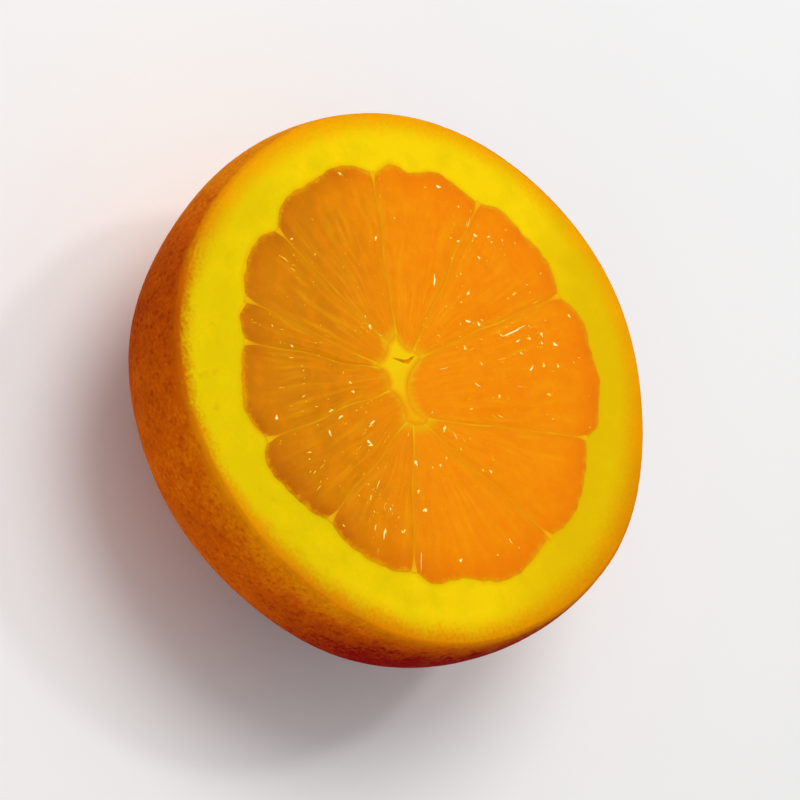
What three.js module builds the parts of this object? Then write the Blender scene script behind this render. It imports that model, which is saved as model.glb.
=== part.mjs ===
import * as THREE from 'three';

// Half of a large orange, cut across its segments. It lies on its rind with the cut face up.
// Millimetres, +Z up. The origin is in the middle of the small flat spot that it rests on.

// The fruit: a ball pressed a little flat from pole to pole
const WIDEST_RADIUS = 39;
const POLAR_RADIUS = 27;
const CUT_ABOVE_WIDEST = 7;
const REST_SPOT_RADIUS = 7;

// How far the fruit is from round: waves round it, share of its radius, angle of a crest
const OUTLINE_WAVES = [
  { count: 2, share: 0.0013, crest: -15 },
  { count: 3, share: 0.0068, crest: -2 },
  { count: 4, share: 0.0034, crest: -27 },
  { count: 5, share: 0.0051, crest: 25 },
  { count: 6, share: 0.0013, crest: 27 },
  { count: 7, share: 0.0018, crest: -22 },
];
// Low lumps of the skin, where two patterns of waves cross
const RIND_LUMP = 0.22;
const LUMP_WAVES = [{ round: 5, down: 4 }, { round: 3, down: -7 }];

// The eleven membranes between the segments, counter-clockwise from the top of the face.
// Each runs from root, its place on the core, to a notch in the pith at angle and reach from
// the middle of the face. The segment after it has its inner end at tip. Its outer edge swells
// past its two notches by swell, with that many scallops, as deep as scallop on each side of
// the swell. They crowd toward one side as lean differs from 1.
const MEMBRANES = [
  {
    angle: 91.7, reach: 27.4, root: [-2.1, 0.75], tip: [-2.95, 0.15],
    swell: 1.5, scallops: 2, scallop: 0.24, lean: 1.22,
  },
  {
    angle: 128.3, reach: 28.4, root: [-3.45, 0.1], tip: [-4.5, -1.25],
    swell: 1.1, scallops: 2, scallop: 0.53, lean: 1.54,
  },
  {
    angle: 164.0, reach: 28.8, root: [-6.85, -1.15], tip: [-6.05, -2.5],
    swell: 2.0, scallops: 2, scallop: 0.21, lean: 1.08,
  },
  {
    angle: 202.7, reach: 28.2, root: [-5.95, -3.5], tip: [-4.5, -4.85],
    swell: 1.5, scallops: 1, scallop: 0.35, lean: 0.75,
  },
  {
    angle: 226.8, reach: 28.2, root: [-4.15, -6.75], tip: [-3.8, -6.85],
    swell: 0.6, scallops: 1, scallop: 0.34, lean: 0.93,
  },
  {
    angle: 238.9, reach: 28.0, root: [-3.55, -7.05], tip: [-2.0, -6.05],
    swell: 1.4, scallops: 1, scallop: 0.48, lean: 1.72,
  },
  {
    angle: 266.4, reach: 28.0, root: [-0.05, -7.0], tip: [2.1, -5.95],
    swell: 1.8, scallops: 1, scallop: 0.56, lean: 0.38,
  },
  {
    angle: 294.2, reach: 27.5, root: [4.95, -7.0], tip: [5.05, -6.3],
    swell: 1.2, scallops: 1, scallop: 0.1, lean: 1.0,
  },
  {
    angle: 322.9, reach: 28.3, root: [5.7, -6.1], tip: [5.85, -5.2],
    swell: 1.2, scallops: 2, scallop: 0.69, lean: 0.6,
  },
  {
    angle: 372.0, reach: 28.6, root: [6.3, -4.2], tip: [6.05, -3.75],
    swell: 0.9, scallops: 1, scallop: 0.38, lean: 0.68,
  },
  {
    angle: 406.7, reach: 27.2, root: [5.95, -3.1], tip: [1.4, -4.3],
    swell: 2.3, scallops: 3, scallop: 0.27, lean: 0.78,
  },
];
const LOBE_FULLNESS = 5;
const TIP_ROUNDNESS = 2.5;

// Heights above or below the plane of the cut
const PULP_CROWN = 0.3;
const PULP_EDGE = -0.32;
const MEMBRANE_TOP = -0.12;
const CORE_TOP = 0.1;
const CROWN_FULLNESS_ACROSS = 2;
const CROWN_FULLNESS_ALONG = 4;
const SAC_RELIEF = 0.09;
const SAC_WAVE_ALONG = 2.4;
const SAC_WAVE_SHIFT = 1.7;
const PITH_SINK = 0.15;
const PITH_WAVE = 0.08;
const PITH_WAVES_ROUND = 9;
const PITH_WAVE_SHIFT = 2.1;

// Widths of the bands round the cut face
const PULP_EDGE_ROUND = 1.5;
const PITH_LIP = 0.3;
const ZEST_THICKNESS = 1.3;
const RIM_ROUND = 0.45;

// The crack in the core: half its width at places along its middle line, and its depth
const CRACK_LINE = [
  { at: [-2.65, -0.3], half: 0 },
  { at: [-2.55, -1.0], half: 0.2 },
  { at: [-2.4, -1.9], half: 0.28 },
  { at: [-2.7, -2.5], half: 0.22 },
  { at: [-3.2, -3.1], half: 0.14 },
  { at: [-3.9, -4.0], half: 0 },
];
const CRACK_DEPTH = 0.8;
const CRACK_FLOOR_SHARE = 0.35;

// Fineness of the facets
const SAC_SWEEP = 3.1;
const FEWEST_SACS = 3;
const BESIDE_MEMBRANE = 0.05;
const PULP_STEPS = [0.03, 0.12, 0.24, 0.36, 0.48, 0.6, 0.72, 0.83, 0.91, 0.96, 1];
const PITH_STEPS = [0.2, 0.4, 0.6, 0.8, 1];
const RIND_ROWS = 13;
const RIM_ROWS = 3;

const widestHeight = POLAR_RADIUS * Math.sqrt(1 - (REST_SPOT_RADIUS / WIDEST_RADIUS) ** 2);
const cutHeight = widestHeight + CUT_ABOVE_WIDEST;
const radians = THREE.MathUtils.degToRad;
const lerp = THREE.MathUtils.lerp;

// 0 at both membranes of a segment and 1 over most of its width
function petal(across, fullness) {
  return 1 - Math.abs(2 * across - 1) ** fullness;
}

// One column runs out from the core, over the rim and down to the rest spot. Columns stand
// closer together beside each membrane, and between these each one is a row of juice sacs.
function makeColumns() {
  const columns = [];
  MEMBRANES.forEach((membrane, index) => {
    const wraps = index === MEMBRANES.length - 1;
    const next = wraps ? MEMBRANES[0] : MEMBRANES[index + 1];
    const sweep = next.angle + (wraps ? 360 : 0) - membrane.angle;
    const sacs = Math.max(FEWEST_SACS, Math.round(sweep / SAC_SWEEP));
    const places = [0, BESIDE_MEMBRANE];
    for (let sac = 1; sac < sacs; sac++) places.push(sac / sacs);
    places.push(1 - BESIDE_MEMBRANE);
    places.forEach((across, place) => {
      const angle = membrane.angle + sweep * across;
      columns.push({ membrane, next, index, sweep, across, place, angle });
    });
  });
  return columns;
}

// Radius of the fruit at an angle, against that of the round body
function outline(angle) {
  return OUTLINE_WAVES.reduce(
    (sum, wave) => sum + wave.share * Math.cos(radians(wave.count * (angle - wave.crest))), 1);
}

// Radius of the round body at a height above its widest section
function bodyRadius(height) {
  return WIDEST_RADIUS * Math.sqrt(Math.max(0, 1 - (height / POLAR_RADIUS) ** 2));
}

function onCore({ membrane, next, across }) {
  const middle = membrane.root.map((value, axis) => (value + next.root[axis]) / 2);
  return membrane.root.map((value, axis) => lerp(value, next.root[axis], across)
    + petal(across, TIP_ROUNDNESS) * (membrane.tip[axis] - middle[axis]));
}

function pulpReach({ membrane, next, across }) {
  const turn = 2 * Math.PI * membrane.scallops * across ** membrane.lean;
  const swell = membrane.swell - membrane.scallop * Math.cos(turn);
  return lerp(membrane.reach, next.reach, across) + petal(across, LOBE_FULLNESS) * swell;
}

function atAngle(angle, radius, height) {
  return new THREE.Vector3(radius * Math.cos(radians(angle)), radius * Math.sin(radians(angle)), height);
}

// Juice sacs lie side by side as low ribs, broken up along their length
function sacRelief(column, step) {
  const side = column.place % 2 === 0 ? 1 : -1;
  return side * SAC_RELIEF * Math.cos(SAC_WAVE_ALONG * step + SAC_WAVE_SHIFT * column.index + column.place);
}

// A point of the pulp at a share of the way from the core to the pith
function pulpPoint(column, share, step) {
  const inner = new THREE.Vector3(...onCore(column), 0);
  const outer = atAngle(column.angle, pulpReach(column), 0);
  const point = inner.clone().lerp(outer, share);
  const width = inner.distanceTo(outer);
  const toEnd = Math.min(share, 1 - share) * width;
  const toSide = Math.min(column.across, 1 - column.across) * point.length() * radians(column.sweep);
  const round = Math.min(1, Math.min(toEnd, toSide) / PULP_EDGE_ROUND);
  const rise = Math.sqrt(1 - (1 - round) ** 2);
  const crown = petal(column.across, CROWN_FULLNESS_ACROSS) * petal(share, CROWN_FULLNESS_ALONG);
  point.z = cutHeight + lerp(PULP_EDGE, 0, rise) + PULP_CROWN * crown + rise * sacRelief(column, step);
  if (column.across === 0) point.z = cutHeight + MEMBRANE_TOP;
  return point;
}

// The pith dries and sinks a little between the pulp and the zest
function pithRing(columns, share, step) {
  const zest = bodyRadius(CUT_ABOVE_WIDEST) - ZEST_THICKNESS;
  return columns.map((column) => {
    const radius = lerp(pulpReach(column) + PITH_LIP, zest * outline(column.angle), share);
    const wave = PITH_WAVE * Math.sin(PITH_WAVES_ROUND * radians(column.angle) + PITH_WAVE_SHIFT * step);
    return atAngle(column.angle, radius, cutHeight + (wave - PITH_SINK) * petal(share, 2));
  });
}

// The flat end of the zest, and the small round edge over which it turns to the skin
function rimRing(columns, row) {
  const turn = (row / RIM_ROWS) * (Math.PI / 2);
  const radius = bodyRadius(CUT_ABOVE_WIDEST) - RIM_ROUND * (1 - Math.sin(turn));
  const height = cutHeight - RIM_ROUND * (1 - Math.cos(turn));
  return columns.map((column) => atAngle(column.angle, radius * outline(column.angle), height));
}

function rindRing(columns, row) {
  const top = Math.asin((CUT_ABOVE_WIDEST - RIM_ROUND) / POLAR_RADIUS);
  const bottom = -Math.acos(REST_SPOT_RADIUS / WIDEST_RADIUS);
  const latitude = lerp(top, bottom, row / RIND_ROWS);
  const height = POLAR_RADIUS * Math.sin(latitude);
  const away = Math.sin(Math.PI * row / RIND_ROWS);
  return columns.map((column) => {
    const [first, second] = LUMP_WAVES.map(
      ({ round, down }) => round * radians(column.angle) + down * latitude);
    const lump = RIND_LUMP * away * Math.sin(first) * Math.cos(second);
    const radius = (bodyRadius(height) + lump) * outline(column.angle);
    return atAngle(column.angle, radius, widestHeight + height);
  });
}

// The two sides of the crack, joined into one loop at a share of its width
function crackLoop(share, height) {
  const sides = CRACK_LINE.map(({ at, half }, index) => {
    const before = CRACK_LINE[Math.max(0, index - 1)].at;
    const after = CRACK_LINE[Math.min(CRACK_LINE.length - 1, index + 1)].at;
    const along = new THREE.Vector2(after[0] - before[0], after[1] - before[1]).normalize();
    const side = new THREE.Vector3(-along.y, along.x, 0).multiplyScalar(half * share);
    const middle = new THREE.Vector3(...at, height);
    return { left: middle.clone().sub(side), right: middle.clone().add(side), pointed: half === 0 };
  });
  const back = sides.filter((side) => !side.pointed).reverse();
  return [...sides.map((side) => side.left), ...back.map((side) => side.right)];
}

// A closed surface built ring by ring
class Skin {
  constructor() {
    this.points = [];
    this.faces = [];
  }

  addLoop(loop) {
    const first = this.points.length;
    this.points.push(...loop);
    return loop.map((_, index) => first + index);
  }

  join(inner, outer) {
    inner.forEach((a, index) => {
      const b = inner[(index + 1) % inner.length];
      const c = outer[(index + 1) % outer.length];
      const d = outer[index];
      this.faces.push(a, d, c, a, c, b);
    });
  }

  cap(loop, holes, facesUp) {
    const flat = (ids) => ids.map((id) => new THREE.Vector2(this.points[id].x, this.points[id].y));
    const ids = [...loop, ...holes.flat()];
    THREE.ShapeUtils.triangulateShape(flat(loop), holes.map(flat)).forEach(([a, b, c]) => {
      const [p, q, r] = [a, b, c].map((id) => this.points[ids[id]]);
      const turn = (q.x - p.x) * (r.y - p.y) - (q.y - p.y) * (r.x - p.x);
      const order = (turn > 0) === facesUp ? [a, b, c] : [a, c, b];
      this.faces.push(...order.map((id) => ids[id]));
    });
  }

  geometry() {
    const geometry = new THREE.BufferGeometry().setFromPoints(this.points);
    geometry.setIndex(this.faces);
    geometry.computeBoundingBox();
    const middle = geometry.boundingBox.getCenter(new THREE.Vector3());
    geometry.translate(-middle.x, -middle.y, 0);
    geometry.computeVertexNormals();
    return geometry;
  }
}

function makeOrangeHalf() {
  const columns = makeColumns();
  const skin = new Skin();
  const coreEdge = columns.map((column) => new THREE.Vector3(...onCore(column), cutHeight + CORE_TOP));
  const rings = [coreEdge];
  PULP_STEPS.forEach((share, step) => rings.push(columns.map((column) => pulpPoint(column, share, step))));
  rings.push(pithRing(columns, 0, 0));
  PITH_STEPS.forEach((share, step) => rings.push(pithRing(columns, share, step + 1)));
  for (let row = 0; row <= RIM_ROWS; row++) rings.push(rimRing(columns, row));
  for (let row = 1; row <= RIND_ROWS; row++) rings.push(rindRing(columns, row));

  const loops = rings.map((ring) => skin.addLoop(ring));
  loops.slice(1).forEach((loop, index) => skin.join(loops[index], loop));

  const crackMouth = skin.addLoop(crackLoop(1, cutHeight + CORE_TOP));
  const crackFloor = skin.addLoop(crackLoop(CRACK_FLOOR_SHARE, cutHeight - CRACK_DEPTH));
  skin.cap(loops[0], [crackMouth], true);
  skin.join(crackFloor, crackMouth);
  skin.cap(crackFloor, [], true);
  skin.cap(loops[loops.length - 1], [], false);
  return skin.geometry();
}

const orange = new THREE.MeshStandardMaterial({ color: 0xee8a10, roughness: 0.45, metalness: 0 });
const orangeHalf = new THREE.Mesh(makeOrangeHalf(), orange);
orangeHalf.name = 'orange_half';

const model = new THREE.Group();
model.add(orangeHalf);

export default model;
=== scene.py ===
import math

import bpy
import numpy as np
from mathutils import Matrix, Vector
from mathutils.geometry import delaunay_2d_cdt


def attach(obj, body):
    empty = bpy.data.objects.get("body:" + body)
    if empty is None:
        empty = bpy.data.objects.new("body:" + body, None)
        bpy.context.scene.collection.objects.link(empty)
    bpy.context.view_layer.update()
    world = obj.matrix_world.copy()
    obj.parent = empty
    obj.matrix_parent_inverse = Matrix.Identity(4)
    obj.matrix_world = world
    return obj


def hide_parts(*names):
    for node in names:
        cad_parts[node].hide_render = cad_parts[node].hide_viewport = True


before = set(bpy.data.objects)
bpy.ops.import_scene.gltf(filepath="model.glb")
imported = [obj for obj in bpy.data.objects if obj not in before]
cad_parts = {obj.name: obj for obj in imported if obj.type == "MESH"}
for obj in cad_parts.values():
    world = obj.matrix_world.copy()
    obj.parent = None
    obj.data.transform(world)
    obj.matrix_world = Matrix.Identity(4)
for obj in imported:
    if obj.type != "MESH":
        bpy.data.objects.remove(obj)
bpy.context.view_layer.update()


# ---- View ----
# The half lies on its rind with the cut face up. The camera looks down on the face from ten
# fruit radii away, and is rolled so that the half seems to stand on its side.

MM = 0.001

# The fruit is a ball pressed a little flat from pole to pole. Shape sizes are millimetres.
WIDEST_RADIUS = 39.0
POLAR_RADIUS = 27.0
CUT_ABOVE_WIDEST = 7.0
REST_SPOT_RADIUS = 7.0
RIM_ROUND = 0.45
RIND_LUMP = 0.22
# Waves round the fruit, share of its radius, angle of a crest
OUTLINE_WAVES = [
    (2, 0.0013, -15), (3, 0.0068, -2), (4, 0.0034, -27),
    (5, 0.0051, 25), (6, 0.0013, 27), (7, 0.0018, -22),
]

WIDEST_HEIGHT = POLAR_RADIUS * math.sqrt(1 - (REST_SPOT_RADIUS / WIDEST_RADIUS) ** 2)
CUT_HEIGHT = WIDEST_HEIGHT + CUT_ABOVE_WIDEST
RIM_LATITUDE = math.asin((CUT_ABOVE_WIDEST - RIM_ROUND) / POLAR_RADIUS)
REST_LATITUDE = -math.acos(REST_SPOT_RADIUS / WIDEST_RADIUS)


def waves(table, angle):
    """Sum of waves round the fruit, each given as a count, a share and the angle of a crest."""
    return sum(share * np.cos(count * (angle - math.radians(crest)))
               for count, share, crest in table)


def outline(angle):
    """Radius of the fruit at an angle, against that of a round one."""
    return 1 + waves(OUTLINE_WAVES, angle)


def body_radius(height):
    """Radius of the round body at a height above its widest section."""
    return WIDEST_RADIUS * np.sqrt(np.maximum(0, 1 - (height / POLAR_RADIUS) ** 2))


def skin_radius(angle, down):
    """Radius and height of the skin at a share of the way down from the rim to the rest spot."""
    latitude = RIM_LATITUDE + (REST_LATITUDE - RIM_LATITUDE) * down
    height = POLAR_RADIUS * np.sin(latitude)
    # Low lumps where two patterns of waves cross
    lump = RIND_LUMP * np.sin(np.pi * down)
    lump = lump * np.sin(5 * angle + 4 * latitude) * np.cos(3 * angle - 7 * latitude)
    return (body_radius(height) + lump) * outline(angle), WIDEST_HEIGHT + height


def fruit_axis():
    """Where the fruit's own axis stands in the frame, whose origin is the middle of the box."""
    angle, down = np.meshgrid(np.linspace(0, 2 * np.pi, 721), np.linspace(0, 0.4, 81))
    radius, _ = skin_radius(angle, down)
    spans = [radius * turn(angle) for turn in (np.cos, np.sin)]
    return [-(span.max() + span.min()) / 2 for span in spans]


AXIS_X, AXIS_Y = fruit_axis()

LENS = 126.6
ELEVATION = math.radians(53.0)
ROLL = math.radians(62.3)
VIEW_DISTANCE = 10 * WIDEST_RADIUS
AIM_RIGHT = 0.28
AIM_UP = -1.84


def new_object(name, data):
    """A named object in the scene."""
    made = bpy.data.objects.new(name, data)
    bpy.context.scene.collection.objects.link(made)
    return made


def place_camera():
    """Sets up the camera, and gives the picture's right, up and towards the eye."""
    back = Vector((0, -math.cos(ELEVATION), math.sin(ELEVATION)))
    level_right = Vector((1, 0, 0))
    level_up = back.cross(level_right)
    right = math.cos(ROLL) * level_right + math.sin(ROLL) * level_up
    up = back.cross(right)
    middle = Vector((AXIS_X, AXIS_Y, WIDEST_HEIGHT))
    eye = (middle + VIEW_DISTANCE * back) * MM
    aim = (middle + AIM_RIGHT * right + AIM_UP * up) * MM
    to_eye = (eye - aim).normalized()
    across = up.cross(to_eye).normalized()
    turn = Matrix((across, to_eye.cross(across), to_eye)).transposed()
    camera = new_object("camera", bpy.data.cameras.new("camera"))
    camera.data.lens = LENS
    camera.data.clip_start = 0.01
    camera.matrix_world = Matrix.Translation(eye) @ turn.to_4x4()
    bpy.context.scene.camera = camera
    return right, up, back


view_right, view_up, view_back = place_camera()


# ---- Peel ----
# The rind is grown in one: a thin zest full of oil glands outside a thick spongy pith. It
# makes a cup round the pulp, whose cut edge follows the lobes of the segments.

# The eleven membranes, counter-clockwise. Each runs from root, its place on the core, to a
# notch in the pith at angle and reach from the fruit's axis. The segment after it has its
# inner end at tip and swells past its two notches by swell. Along this edge it has scallops,
# as deep as scallop on each side of the swell, which crowd to one side as lean leaves 1.
COLUMNS = ("angle", "reach", "root", "tip", "swell", "scallops", "scallop", "lean")
MEMBRANES = [dict(zip(COLUMNS, row)) for row in [
    (91.7, 27.4, (-2.1, 0.75), (-2.95, 0.15), 1.5, 2, 0.24, 1.22),
    (128.3, 28.4, (-3.45, 0.1), (-4.5, -1.25), 1.1, 2, 0.53, 1.54),
    (164, 28.8, (-6.85, -1.15), (-6.05, -2.5), 2, 2, 0.21, 1.08),
    (202.7, 28.2, (-5.95, -3.5), (-4.5, -4.85), 1.5, 1, 0.35, 0.75),
    (226.8, 28.2, (-4.15, -6.75), (-3.8, -6.85), 0.6, 1, 0.34, 0.93),
    (238.9, 28, (-3.55, -7.05), (-2, -6.05), 1.4, 1, 0.48, 1.72),
    (266.4, 28, (-0.05, -7), (2.1, -5.95), 1.8, 1, 0.56, 0.38),
    (294.2, 27.5, (4.95, -7), (5.05, -6.3), 1.2, 1, 0.1, 1),
    (322.9, 28.3, (5.7, -6.1), (5.85, -5.2), 1.2, 2, 0.69, 0.6),
    (372, 28.6, (6.3, -4.2), (6.05, -3.75), 0.9, 1, 0.38, 0.68),
    (406.7, 27.2, (5.95, -3.1), (1.4, -4.3), 2.3, 3, 0.27, 0.78),
]]
LOBE_FULLNESS = 5
# The ends of the sacs ripple the outer edge of the pulp
RIPPLE = 0.13
RIPPLE_LENGTH = 3.4
SECOND_RIPPLE = 1.65

PITH_OVER_PULP = 0.06
PITH_SINK = 0.15
ZEST_THICKNESS = 1.3
CUP_DEPTH = 26.5
CUP_FULLNESS = 4
CUP_BELOW_CUT = 0.6
# Distances between the points of the mesh, and where its rings lie
PEEL_PITCH = 0.37
SKIN_RING_PITCH = 0.333
CUP_PITCH = 1.3
CUP_RINGS = 24
PITH_RINGS = 22
PITH_RINGS_CROWD = 1.3
ZEST_RINGS = 3
RIM_TURNS = (22, 45, 68)
REST_SPOT_SHARES = (0.8, 0.6, 0.4, 0.2)
# How far down the skin the rounding of the rim is taken to end
ROUND_BELOW_RIM = 0.4
# Stands for a distance past all bands
FAR = 9

# How dark the orange of the skin is, from 0 to 1: its mean, waves round the fruit, patches
# that grow between two depths below the rim, and where it levels off to both sides. The waves
# and patches are painted shade: darker and redder at the left and the bottom of the view, more
# so further below the rim, and painted lighter just below the rim toward the bottom
SKIN_SHADE_MEAN = 0.44
PAINTED_SHADE_WAVES = [(3, 0.26, 228), (2, 0.05, 255), (1, 0.14, 337)]
PAINTED_SHADE_PATCHES = [
    dict(more=0.45, angle=318, narrow=3, start=1, full=10),
    dict(more=0.30, angle=345, narrow=8, start=1.5, full=5),
    dict(more=-0.22, angle=314, narrow=6, start=4, full=0),
]
SKIN_SHADE_MIDDLE = 0.57
SKIN_SHADE_SWING = 0.55
# How dark the cut zest is: a mean, and patches round the fruit. The strongest patch, at the
# left of the view, is painted shade; the other two darken the zest toward the bottom and the
# lower right of the view
CUT_ZEST_MEAN = 0.12
CUT_ZEST_PATCHES = [
    dict(more=0.80, angle=238, narrow=12),
    dict(more=0.50, angle=312, narrow=4),
    dict(more=0.36, angle=25, narrow=5),
]


def ramp(value, start, full):
    """0 before start, 1 past full, and evenly between them in either direction."""
    return np.clip((value - start) / (full - start), 0, 1)


def petal(across, fullness):
    """0 at both sides of a segment and 1 over most of its width."""
    return 1 - np.abs(2 * across - 1) ** fullness


def next_membrane(index):
    """The membrane on the far side of a segment."""
    return MEMBRANES[(index + 1) % len(MEMBRANES)]


def sweep_of(index):
    """Angle in degrees from a membrane to the next."""
    return (next_membrane(index)["angle"] - MEMBRANES[index]["angle"]) % 360


def lobe_reach(index, across):
    """Distance from the axis to the outer edge of a segment's pulp."""
    membrane = MEMBRANES[index]
    turn = 2 * np.pi * membrane["scallops"] * across ** membrane["lean"]
    swell = membrane["swell"] - membrane["scallop"] * np.cos(turn)
    notch = membrane["reach"] + (next_membrane(index)["reach"] - membrane["reach"]) * across
    width = math.radians(sweep_of(index)) * membrane["reach"]
    turn = 2 * np.pi * width / RIPPLE_LENGTH * across
    ripple = RIPPLE * (np.sin(turn + index) + np.sin(SECOND_RIPPLE * turn)) / 2
    return notch + petal(across, LOBE_FULLNESS) * swell + petal(across, 2) * ripple


def pulp_reach(angle):
    """Distance from the axis to the edge of the pulp at any angles, in radians."""
    degrees = np.degrees(np.asarray(angle, float))
    reach = np.zeros_like(degrees)
    for index, membrane in enumerate(MEMBRANES):
        across = ((degrees - membrane["angle"]) % 360) / sweep_of(index)
        inside = across <= 1
        reach[inside] = lobe_reach(index, across[inside])
    return reach


def cup_height(share):
    """Height of the bottom of the pulp at a share of the way from the axis to its edge."""
    return CUT_HEIGHT - CUP_DEPTH * np.sqrt(1 - np.clip(share, 0, 1) ** CUP_FULLNESS)


def patch_at(angle, patch):
    """What a patch adds at an angle round the fruit."""
    near = np.clip(np.cos(angle - math.radians(patch["angle"])), 0, 1)
    return patch["more"] * near ** patch["narrow"]


def painted_skin_shade(angle, depth):
    """How dark the skin is painted at an angle and a depth in mm below the rim, mostly as painted
    shade.
    """
    deepness = SKIN_SHADE_MEAN + waves(PAINTED_SHADE_WAVES, angle)
    for patch in PAINTED_SHADE_PATCHES:
        deepness = deepness + patch_at(angle, patch) * ramp(depth, patch["start"], patch["full"])
    return SKIN_SHADE_MIDDLE + SKIN_SHADE_SWING * np.tanh((deepness - SKIN_SHADE_MIDDLE) / SKIN_SHADE_SWING)


def round_ring(radius_at, pitch, height, cut=0, inward=FAR, to_pulp=FAR, deepness=0, zest=0):
    """A level ring of points about the fruit's axis: x, y, z, and a column for each mark."""
    count = max(6, int(2 * np.pi * np.mean(radius_at(np.zeros(1))) / pitch))
    angle = 2 * np.pi * np.arange(count) / count
    radius = radius_at(angle)
    columns = [AXIS_X + radius * np.cos(angle), AXIS_Y + radius * np.sin(angle)]
    for value in (height, cut, inward, to_pulp, deepness, zest):
        columns.append(value(angle, radius) if callable(value) else np.full(count, value))
    return np.stack(columns, 1)


def join_rings(rings):
    """Faces of a closed surface through rings of unlike counts. The first and the last ring
    hold one point each."""
    starts = np.cumsum([0] + [len(ring) for ring in rings])
    faces = []
    for place, (first, second) in enumerate(zip(rings[:-1], rings[1:])):
        n, m = len(first), len(second)
        steps_first = (np.arange(n) + 0.5) / n if n > 1 else np.zeros(0)
        steps_second = (np.arange(m) + 0.5) / m if m > 1 else np.zeros(0)
        order = np.argsort(np.concatenate([steps_first, steps_second]), kind="stable")
        on_second = np.repeat([False, True], [len(steps_first), len(steps_second)])[order]
        after_first = np.cumsum(~on_second)
        after_second = np.cumsum(on_second)
        here, there = starts[place], starts[place + 1]
        a = here + (after_first - ~on_second) % n
        b = there + (after_second - on_second) % m
        c = np.where(on_second, there + after_second % m, here + after_first % n)
        faces.append(np.stack([a, b, c], 1))
    return np.concatenate(faces)


SHARP_ANGLE = math.radians(55)


def make_piece(name, points, faces, marks):
    """A smooth mesh object from points in millimetres, with one attribute for each mark."""
    mesh = bpy.data.meshes.new(name)
    corners = [list(map(int, face)) for face in faces]
    mesh.from_pydata((np.asarray(points) * MM).tolist(), [], corners)
    mesh.update()
    mesh.shade_smooth()
    mesh.set_sharp_from_angle(angle=SHARP_ANGLE)
    for label, values in marks.items():
        kind, held = ("FLOAT_VECTOR", "vector") if np.ndim(values) == 2 else ("FLOAT", "value")
        attribute = mesh.attributes.new(label, kind, "POINT")
        attribute.data.foreach_set(held, np.asarray(values, np.float32).ravel())
    return new_object(name, mesh)


class Wire:
    """One output of a node. Arithmetic on wires adds Math nodes to the same tree."""

    def __init__(self, tree, node, socket):
        self.tree = tree
        self.node = node
        self.socket = socket

    def out(self, name):
        """Another output of the same node."""
        return Wire(self.tree, self.node, self.node.outputs[name])

    def math(self, operation, *others):
        values = dict(enumerate([self, *others]))
        return self.tree.add("ShaderNodeMath", dict(operation=operation), values)

    def __add__(self, other):
        return self.math("ADD", other)

    def __sub__(self, other):
        return self.math("SUBTRACT", other)

    def __mul__(self, other):
        return self.math("MULTIPLY", other)

    def __rsub__(self, other):
        return (self * -1).math("ADD", other)

    __radd__ = __add__
    __rmul__ = __mul__

    def smooth(self, low, high):
        """0 below low, 1 above high, and an even curve between them."""
        values = {"Value": self, "From Min": low, "From Max": high}
        return self.tree.add("ShaderNodeMapRange", dict(interpolation_type="SMOOTHSTEP"), values)


class Tree:
    """Builds a shader tree or a geometry tree node by node."""

    def __init__(self, tree):
        self.tree = tree

    def add(self, kind, settings=None, values=None):
        """A new node, as a wire from its first output in use."""
        node = self.tree.nodes.new(kind)
        for name, value in (settings or {}).items():
            setattr(node, name, value)
        self.feed(node, values or {})
        shown = [socket for socket in node.outputs if socket.enabled]
        return Wire(self, node, shown[0] if shown else None)

    def feed(self, node, values):
        """Links wires to a node's inputs, and sets the others to plain values."""
        for name, value in values.items():
            if isinstance(value, Wire):
                self.tree.links.new(value.socket, node.inputs[name])
            else:
                node.inputs[name].default_value = value

    def place(self):
        """Where in the object the surface is, in metres."""
        return self.add("ShaderNodeTexCoord").out("Object")

    def mix(self, factor, first, second):
        """A blend of two colours."""
        settings = dict(data_type="RGBA", clamp_factor=True)
        return self.add("ShaderNodeMix", settings, {0: factor, 6: first, 7: second})

    def scale(self, vector, factor):
        values = {0: vector, "Scale": factor}
        return self.add("ShaderNodeVectorMath", dict(operation="SCALE"), values)

    def stretch(self, vector, factors):
        values = {0: vector, 1: factors}
        return self.add("ShaderNodeVectorMath", dict(operation="MULTIPLY"), values)

    def noise(self, place, scale, detail=2):
        """Soft random lumps, about as many to the unit of place as scale."""
        values = {"Vector": place, "Scale": scale, "Detail": detail}
        return self.add("ShaderNodeTexNoise", None, values)

    def cells(self, place, scale, feature="F1", **values):
        """A pattern of cells: their distances, and a colour drawn for each."""
        values = {"Vector": place, "Scale": scale, **values}
        return self.add("ShaderNodeTexVoronoi", dict(feature=feature), values)

    def part(self, vector, axis):
        """One of X, Y and Z of a vector."""
        return self.add("ShaderNodeSeparateXYZ", None, {0: vector}).out(axis)

    def bump(self, height, strength, distance):
        values = {"Height": height, "Strength": strength, "Distance": distance}
        return self.add("ShaderNodeBump", None, values)

    def move(self, vector, offset):
        return self.add("ShaderNodeVectorMath", dict(operation="ADD"), {0: vector, 1: offset})


def new_material(name):
    """A material and its tree, with a Principled shader as the node named finish."""
    material = bpy.data.materials.new(name)
    material.use_nodes = True
    shader = material.node_tree.nodes["Principled BSDF"]
    shader.name = "finish"
    return material, Tree(material.node_tree), shader


def named(tree, name, kind="FLOAT"):
    """A wire from one of the mesh's own attributes, in a geometry tree."""
    return tree.add("GeometryNodeInputNamedAttribute", dict(data_type=kind), {"Name": name})


def mark(tree, name):
    """A wire from one of the mesh's own attributes, in a shader."""
    return tree.add("ShaderNodeAttribute", dict(attribute_name=name)).out("Fac")


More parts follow.
